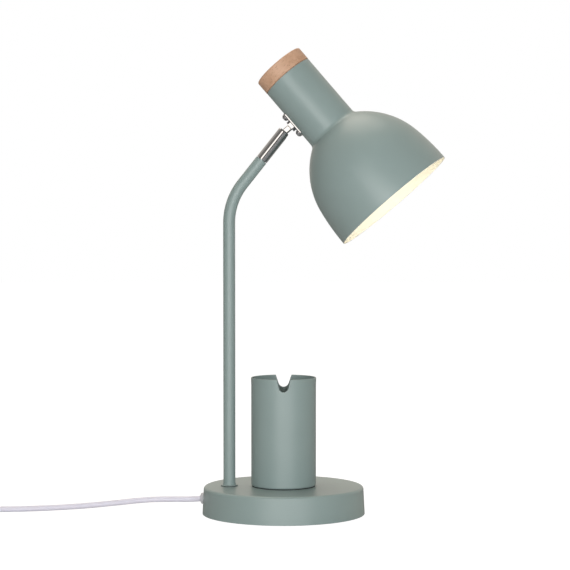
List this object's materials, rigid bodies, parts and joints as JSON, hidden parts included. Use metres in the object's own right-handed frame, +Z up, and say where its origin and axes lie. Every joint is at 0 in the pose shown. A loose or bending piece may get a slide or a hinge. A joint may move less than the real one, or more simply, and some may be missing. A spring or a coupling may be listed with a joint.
{
  "type": "desk lamp with pen cup",
  "caption": "Desk lamp on a round weighted base with a pen cup, a bent tube stem, a swivelling and tilting bell shade, a wooden cap and a cord with an in-line switch.",
  "frame": {"origin": "centre of the round base on the face that stands on the desk", "axes": "+Z up, +X towards the side that the shade hangs over, away from the stem, +Y to the back"},
  "size_m": [0.6956, 0.1989, 0.4649],
  "materials": {
    "green_paint": "matte",
    "zinc_steel": "satin",
    "iron": "rough",
    "foam_rubber": "matte",
    "brass": "satin",
    "polished_chrome": "polished",
    "nylon": "matte",
    "beech": "satin",
    "white_plastic": "satin",
    "nickel_brass": "polished",
    "opal_glass": "satin",
    "cord_sheath": "satin",
    "lead_sheath": "satin",
    "tie_strap": "matte"
  },
  "bodies": {
    "stand": {"base_cover": "green_paint", "stem_tube": "green_paint", "stem_foot": "green_paint", "pen_cup": "green_paint", "base_posts": "zinc_steel", "bottom_plate": "zinc_steel", "bottom_plate_screws": "zinc_steel", "ballast_disc": "iron", "foot_pad": "foam_rubber", "stem_stud": "zinc_steel", "stem_washer": "zinc_steel", "stem_nut": "zinc_steel", "cup_screws": "zinc_steel", "cup_nuts": "zinc_steel", "arm_journal": "brass", "cord_gland": "white_plastic", "cord_inner": "cord_sheath", "cord_clamp": "white_plastic", "clamp_screws": "zinc_steel", "terminal_block": "nylon", "stem_lead": "lead_sheath", "switch_lower": "white_plastic", "switch_upper": "white_plastic", "switch_screws": "zinc_steel", "switch_contacts": "brass", "cord_free": "cord_sheath", "cord_lead": "cord_sheath", "cord_coil": "cord_sheath", "coil_tie": "tie_strap", "cord_tail": "cord_sheath", "plug_body": "white_plastic", "plug_pins": "nickel_brass"},
    "swivel": {"swivel_sleeve": "polished_chrome", "sleeve_bush": "nylon", "ball_seat": "nylon", "spring_washers": "zinc_steel", "spring_plug": "brass"},
    "head": {"ball_stud": "polished_chrome", "stud_boss": "polished_chrome", "saddle_plate": "polished_chrome", "backing_bar": "zinc_steel", "stud_nut": "zinc_steel", "saddle_screws": "polished_chrome", "shade": "green_paint", "wood_cap": "beech", "cap_insert": "brass", "cap_screw": "zinc_steel", "holder_bracket": "zinc_steel", "holder_body": "white_plastic", "holder_liner": "brass", "holder_contact": "brass", "bracket_screw": "zinc_steel", "bulb_cap": "nickel_brass", "bulb_globe": "opal_glass", "bulb_collar": "white_plastic", "head_lead": "lead_sheath"},
    "rocker": {"rocker": "white_plastic"}
  },
  "joints": [
    {"name": "head_swivel", "type": "hinge", "parent": "stand", "child": "swivel", "pos_m": [-0.00188, 0, 0.37934], "axis": [0.6211, 0, 0.7837], "range_deg": [-165, 165]},
    {"name": "head_tilt", "type": "hinge", "parent": "swivel", "child": "head", "pos_m": [-0.00188, 0, 0.37934], "axis": [0.0833, 0.9943, -0.066], "range_deg": [-25, 42]},
    {"name": "switch_rocker", "type": "hinge", "parent": "stand", "child": "rocker", "pos_m": [-0.381, 0.007, 0.0146], "axis": [0, 1, 0], "range_deg": [-18, 0]}
  ]
}
